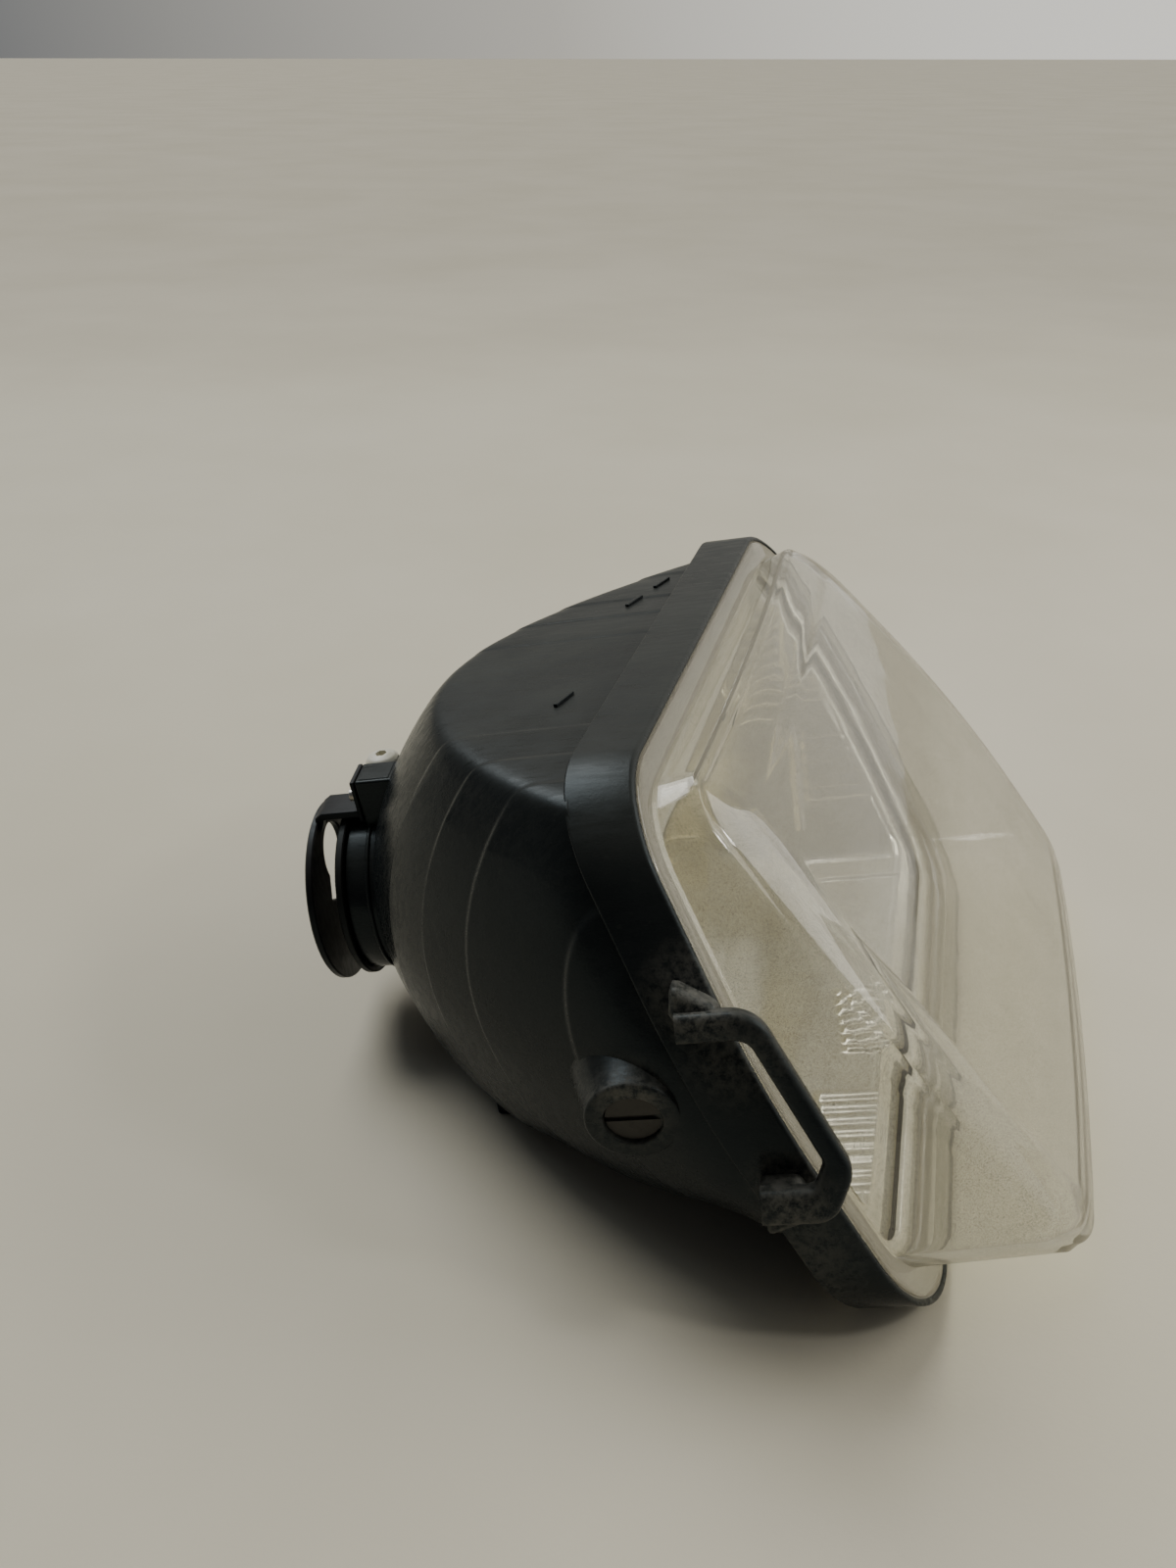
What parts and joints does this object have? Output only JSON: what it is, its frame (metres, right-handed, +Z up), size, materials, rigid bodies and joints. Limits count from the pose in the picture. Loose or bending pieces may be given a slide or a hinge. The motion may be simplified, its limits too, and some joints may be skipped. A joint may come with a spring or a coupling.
{
  "type": "car headlight",
  "caption": "Right-hand car headlight: black moulded housing with a side loop, clear wedge lens, tilting reflector with halogen bulb, turning rear cap and keyhole bracket.",
  "frame": {"origin": "centre of the footprint, on the ground the lamp stands on with its optical axis 9 degrees nose up", "axes": "+X is where the light goes, +Y to the lamp's left (the inner side, away from the loop), +Z up. The optical axis itself runs along (0.988, 0, 0.156) in this frame."},
  "size_m": [0.2726, 0.2734, 0.1388],
  "materials": {
    "housing": "moulded black, satin flanks",
    "lens": "clear, slightly scuffed",
    "lens_seal": "black sealant",
    "bezel": "aged pale cream",
    "reflector": "aluminised, aged to a pale cream",
    "pivot_bushes": "natural nylon",
    "pivot_pin_outer": "dusty zinc-plated steel",
    "pivot_pin_inner": "dusty zinc-plated steel",
    "bulb_flange": "plated steel",
    "bulb_base": "plated steel",
    "bulb_terminals": "tinned brass",
    "bulb_glass": "clear quartz glass",
    "main_filament": "tungsten",
    "dipped_filament": "tungsten",
    "filament_shield": "molybdenum",
    "bulb_clip": "spring steel wire",
    "sidelight_holder": "black",
    "sidelight_bulb": "clear",
    "sidelight_filament": "tungsten",
    "rear_cap": "black, dull",
    "rear_cap_seal": "black",
    "levelling_bracket": "black",
    "bracket_screws": "zinc plated",
    "adjuster_knob": "natural nylon, yellowed",
    "adjuster_screw": "zinc plated",
    "adjuster_nut": "natural nylon",
    "vent_cap": "black"
  },
  "bodies": {
    "lamp_body": {"housing": "housing", "lens": "lens", "lens_seal": "lens_seal", "bezel": "bezel", "pivot_pin_outer": "pivot_pin_outer", "pivot_pin_inner": "pivot_pin_inner", "levelling_bracket": "levelling_bracket", "bracket_screws": "bracket_screws", "vent_cap": "vent_cap"},
    "reflector_unit": {"reflector": "reflector", "pivot_bushes": "pivot_bushes", "bulb_flange": "bulb_flange", "bulb_base": "bulb_base", "bulb_terminals": "bulb_terminals", "bulb_glass": "bulb_glass", "main_filament": "main_filament", "dipped_filament": "dipped_filament", "filament_shield": "filament_shield", "sidelight_holder": "sidelight_holder", "sidelight_bulb": "sidelight_bulb", "sidelight_filament": "sidelight_filament"},
    "bulb_retainer": {"bulb_clip": "bulb_clip"},
    "adjuster": {"adjuster_knob": "adjuster_knob", "adjuster_screw": "adjuster_screw"},
    "adjuster_carriage": {"adjuster_nut": "adjuster_nut"},
    "access_cover": {"rear_cap": "rear_cap", "rear_cap_seal": "rear_cap_seal"}
  },
  "joints": [
    {"name": "reflector_tilt", "type": "hinge", "parent": "lamp_body", "child": "reflector_unit", "pos_m": [-0.02306, 0.00149, 0.06457], "axis": [0, 1, 0], "range_deg": [-1.3, 1.3]},
    {"name": "adjuster_travel", "type": "slide", "parent": "lamp_body", "child": "adjuster_carriage", "axis": [-0.1564, 0, 0.9877], "range_m": [-0.002, 0.002]},
    {"name": "adjuster_turn", "type": "hinge", "parent": "lamp_body", "child": "adjuster", "pos_m": [-0.1148, 0.01649, 0.08446], "axis": [-0.1564, 0, 0.9877], "range_deg": [-239, 239]},
    {"name": "bulb_clip_swing", "type": "hinge", "parent": "reflector_unit", "child": "bulb_retainer", "pos_m": [-0.10459, 0.00149, 0.03849], "axis": [0, -1, 0], "range_deg": [0, 20]},
    {"name": "rear_cap_twist", "type": "hinge", "parent": "lamp_body", "child": "access_cover", "pos_m": [-0.11954, 0.00149, 0.04726], "axis": [-0.9877, 0, -0.1564], "range_deg": [0, 30]}
  ],
  "couplings": [
    {"joint": "adjuster_travel", "follows": "reflector_tilt", "m_per_rad": 0.0875},
    {"joint": "adjuster_turn", "follows": "reflector_tilt", "ratio": 183.26}
  ]
}
